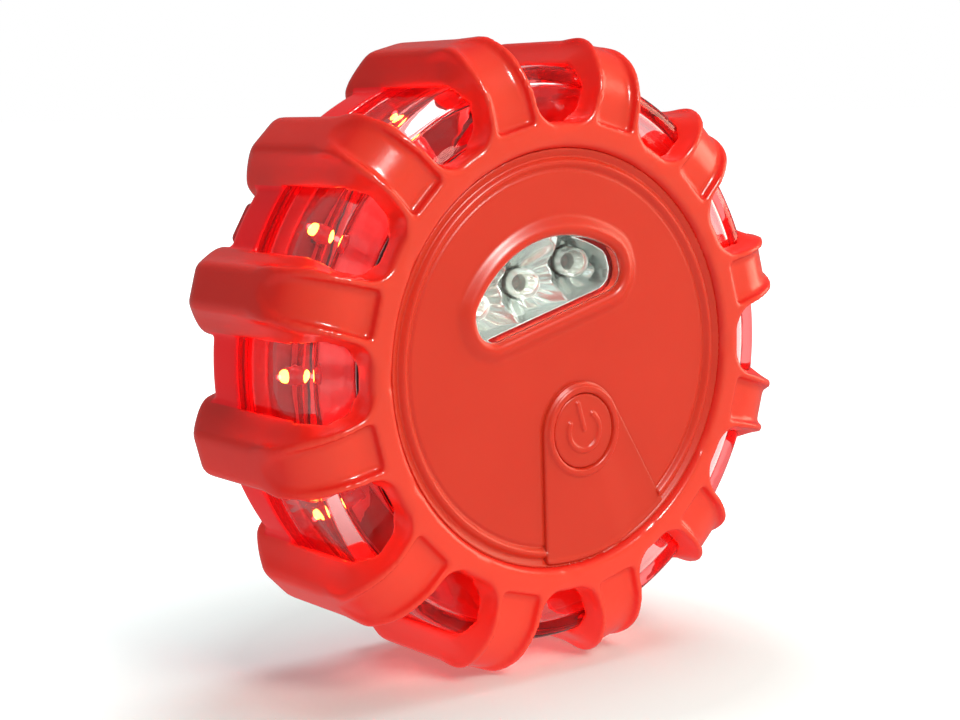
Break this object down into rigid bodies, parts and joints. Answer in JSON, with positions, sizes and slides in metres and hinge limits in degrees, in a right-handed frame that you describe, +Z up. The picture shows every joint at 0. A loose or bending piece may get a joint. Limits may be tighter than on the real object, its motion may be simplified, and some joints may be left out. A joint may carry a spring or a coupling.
{
  "type": "led safety flare",
  "caption": "Puck-shaped LED road flare in a toothed red rubber bumper, with side windows, a torch in the face, a power button, a rear magnet and a hanging bail.",
  "frame": {"origin": "on the surface that the flare stands on, under the middle of the disc, midway between its front and its back", "axes": "+Z up; +Y along the disc's axis from the torch face to the magnet, so the face looks towards -Y; +X to the right of someone who looks at the face"},
  "size_m": [0.1036, 0.0368, 0.1036],
  "materials": {
    "bumper_rubber": "satin translucent moulded TPU, orange-red",
    "face_rubber": "satin moulded TPU, orange-red, fine grain",
    "clear_plastic": "polished clear polycarbonate",
    "black_rubber": "matte",
    "chrome_plating": "vacuum metallised, mirror bright",
    "circuit_board": "dark red solder mask",
    "black_plastic": "matte",
    "red_plastic": "satin moulded ABS, red",
    "clear_red_plastic": "polished translucent red",
    "magnet_plating": "nickel plated",
    "screw_steel": "zinc plated",
    "contact_metal": "nickel plated spring steel",
    "cell_sleeve": "printed sleeve, plain",
    "red_led": "clear epoxy over a lit red chip",
    "white_led": "water-clear epoxy dome"
  },
  "bodies": {
    "body": {"rubber_bumper": "bumper_rubber", "front_cover": "face_rubber", "button_pad": "face_rubber", "clear_lens": "clear_plastic", "torch_window": "clear_plastic", "front_seal": "black_rubber", "rear_seal": "black_rubber", "button_membrane": "black_rubber", "front_chassis": "red_plastic", "torch_reflector": "chrome_plating", "side_reflector": "red_plastic", "main_board": "circuit_board", "tact_switch": "black_plastic", "controller_chip": "black_plastic", "rear_housing": "red_plastic", "bail_pin_left": "screw_steel", "bail_pin_right": "screw_steel", "side_led_01": "red_led", "side_led_02": "red_led", "side_led_03": "red_led", "side_led_04": "red_led", "side_led_05": "red_led", "side_led_06": "red_led", "side_led_07": "red_led", "side_led_08": "red_led", "side_led_09": "red_led", "side_led_10": "red_led", "side_led_11": "red_led", "side_led_12": "red_led", "torch_led_1": "white_led", "torch_led_2": "white_led", "torch_led_3": "white_led", "battery_cell_1": "cell_sleeve", "battery_cell_2": "cell_sleeve", "battery_cell_3": "cell_sleeve", "battery_spring_1": "contact_metal", "battery_spring_2": "contact_metal", "battery_spring_3": "contact_metal", "contact_positive": "contact_metal", "contact_bridge_left": "contact_metal", "contact_bridge_right": "contact_metal", "contact_negative": "contact_metal", "housing_screw_1": "screw_steel", "housing_screw_2": "screw_steel", "housing_screw_3": "screw_steel", "housing_screw_4": "screw_steel"},
    "button": {"power_button": "face_rubber"},
    "door": {"battery_door": "red_plastic", "magnet": "magnet_plating", "door_screw": "screw_steel"},
    "bail": {"hanging_bail": "clear_red_plastic"}
  },
  "joints": [
    {"name": "power_button_press", "type": "slide", "parent": "body", "child": "button", "axis": [0, 1, 0], "range_m": [0, 0.0008], "stiffness_N_per_m": 600},
    {"name": "battery_door_lift", "type": "slide", "parent": "body", "child": "door", "axis": [0, 1, 0], "range_m": [0, 0.012]},
    {"name": "bail_swing", "type": "hinge", "parent": "body", "child": "bail", "pos_m": [0, 0.0166, 0.0518], "axis": [-0.5, 0, -0.866], "range_deg": [0, 110]}
  ]
}
